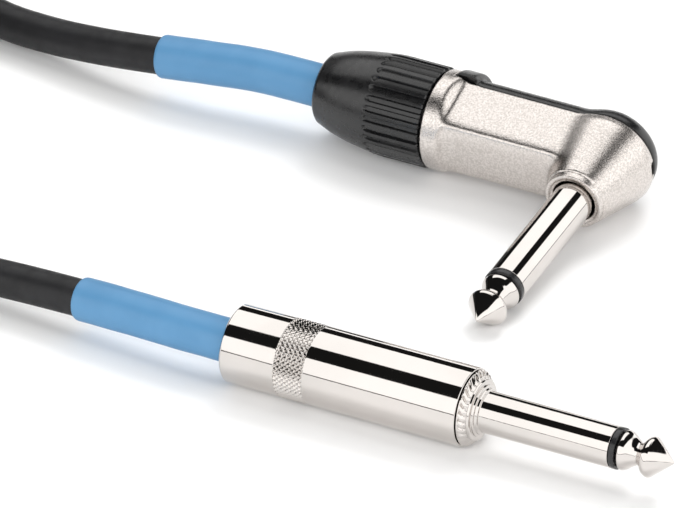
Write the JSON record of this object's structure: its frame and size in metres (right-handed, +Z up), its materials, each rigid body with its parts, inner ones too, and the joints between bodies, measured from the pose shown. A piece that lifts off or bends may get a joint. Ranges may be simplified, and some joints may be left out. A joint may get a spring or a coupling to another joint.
{
  "type": "instrument cable",
  "caption": "Shielded instrument cable with a straight quarter-inch phone plug and a right-angle quarter-inch phone plug, blue heat-shrink sleeves, spare length coiled and tied.",
  "frame": {"origin": "on the floor, below the middle of the box round the two plugs", "axes": "+Z up; both plugs' bodies lie along X with their cable ends towards -X; the right-angle plug's shaft points along -Y and slightly down"},
  "size_m": [0.2472, 0.0888, 0.0254],
  "materials": {
    "polished_nickel": "mirror-polished nickel plating",
    "satin_nickel": "satin die-cast metal, nickel plated, slightly grainy",
    "tinned_brass": "stamped and tin plated",
    "bare_copper": "bare stranded copper",
    "black_plastic": "moulded, low sheen",
    "dark_insulator": "smooth moulded ring",
    "phenolic": "brown fibre board",
    "clear_tube": "thin translucent sleeve",
    "white_core": "extruded insulation",
    "blue_shrink": "heat-shrink, soft sheen",
    "cable_jacket": "extruded flexible jacket, low sheen",
    "strap_fabric": "woven hook-and-loop tape"
  },
  "bodies": {
    "plug_bodies": {"straight_sleeve_contact": "polished_nickel", "straight_tip_contact": "polished_nickel", "straight_tip_insulator": "dark_insulator", "straight_rod_insulator": "white_core", "straight_ground_terminal": "tinned_brass", "straight_terminal_washer": "phenolic", "straight_tip_terminal": "tinned_brass", "straight_core_insulation": "white_core", "straight_conductor": "bare_copper", "straight_shield_pigtail": "bare_copper", "angle_sleeve_contact": "polished_nickel", "angle_tip_contact": "polished_nickel", "angle_tip_insulator": "dark_insulator", "angle_rod_insulator": "white_core", "angle_ground_terminal": "tinned_brass", "angle_terminal_washer": "phenolic", "angle_tip_terminal": "tinned_brass", "angle_housing": "satin_nickel", "angle_core_insulation": "white_core", "angle_conductor": "bare_copper", "angle_shield_pigtail": "bare_copper", "cable_straight_lead": "cable_jacket", "cable_angle_lead": "cable_jacket", "cable_coil": "cable_jacket", "coil_strap": "strap_fabric", "straight_shrink_sleeve": "blue_shrink", "angle_shrink_sleeve": "blue_shrink"},
    "straight_tube": {"straight_insulating_tube": "clear_tube"},
    "straight_barrel": {"straight_barrel": "polished_nickel"},
    "angle_chuck": {"angle_chuck": "black_plastic"},
    "angle_bushing": {"angle_bushing": "black_plastic"},
    "angle_back_cover": {"angle_back_cover": "black_plastic"}
  },
  "joints": [
    {"name": "straight_barrel_travel", "type": "slide", "parent": "plug_bodies", "child": "straight_tube", "axis": [-1, 0, 0], "range_m": [0, 0.00525]},
    {"name": "straight_barrel_turn", "type": "hinge", "parent": "straight_tube", "child": "straight_barrel", "pos_m": [0, -0.03495, 0.006], "axis": [-1, 0, 0], "range_deg": [0, 2520]},
    {"name": "angle_nut_travel", "type": "slide", "parent": "plug_bodies", "child": "angle_chuck", "axis": [-1, 0, 0], "range_m": [0, 0.0055]},
    {"name": "angle_nut_turn", "type": "hinge", "parent": "angle_chuck", "child": "angle_bushing", "pos_m": [-0.03, 0.03315, 0.0078], "axis": [-1, 0, 0], "range_deg": [0, 1980]},
    {"name": "angle_cover_lift", "type": "slide", "parent": "plug_bodies", "child": "angle_back_cover", "axis": [0, 0.9925, 0.122], "range_m": [0, 0.012]}
  ],
  "couplings": [
    {"joint": "straight_barrel_turn", "follows": "straight_barrel_travel", "rad_per_m": 8377.6},
    {"joint": "angle_nut_turn", "follows": "angle_nut_travel", "rad_per_m": 6283.2}
  ]
}
